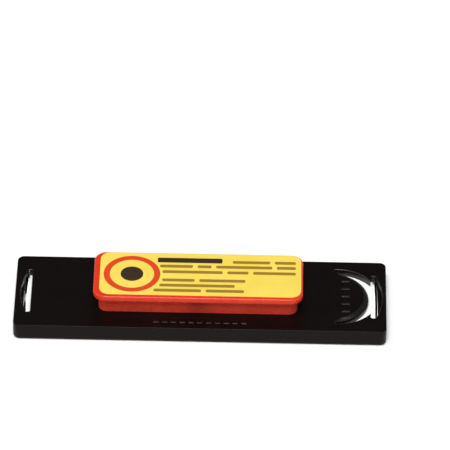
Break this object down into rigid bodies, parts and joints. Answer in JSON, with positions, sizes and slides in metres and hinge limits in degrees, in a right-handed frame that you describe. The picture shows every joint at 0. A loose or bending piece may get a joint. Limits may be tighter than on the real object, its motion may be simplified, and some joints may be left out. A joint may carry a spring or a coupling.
{
  "type": "magnetic name badge",
  "caption": "Flat rectangular name badge with a clear snap-in window over an insert card, and a block magnet on its back that holds it through cloth.",
  "frame": {"origin": "middle of the front rim's plane, on which the badge lies face down", "axes": "+X along the badge's length towards the press tongue, +Y across it, +Z out of its back"},
  "size_m": [0.0722, 0.0214, 0.0081],
  "materials": {
    "black_plastic": "fine satin moulded",
    "clear_plastic": "clear polished",
    "white_card": "uncoated card",
    "red_plastic": "gloss moulded",
    "yellow_vinyl": "printed vinyl"
  },
  "bodies": {
    "housing": {"housing": "black_plastic", "name_card": "white_card"},
    "window": {"window": "clear_plastic"},
    "magnet": {"magnet_case": "red_plastic", "magnet_lid": "red_plastic", "label": "yellow_vinyl"}
  },
  "joints": [
    {"name": "window_tilt", "type": "hinge", "parent": "housing", "child": "window", "pos_m": [-0.03453, 0, 0.00125], "axis": [0, 1, 0], "range_deg": [0, 10]},
    {"name": "magnet_pull", "type": "slide", "parent": "housing", "child": "magnet", "axis": [0, 0, 1], "range_m": [0, 0.012]}
  ]
}
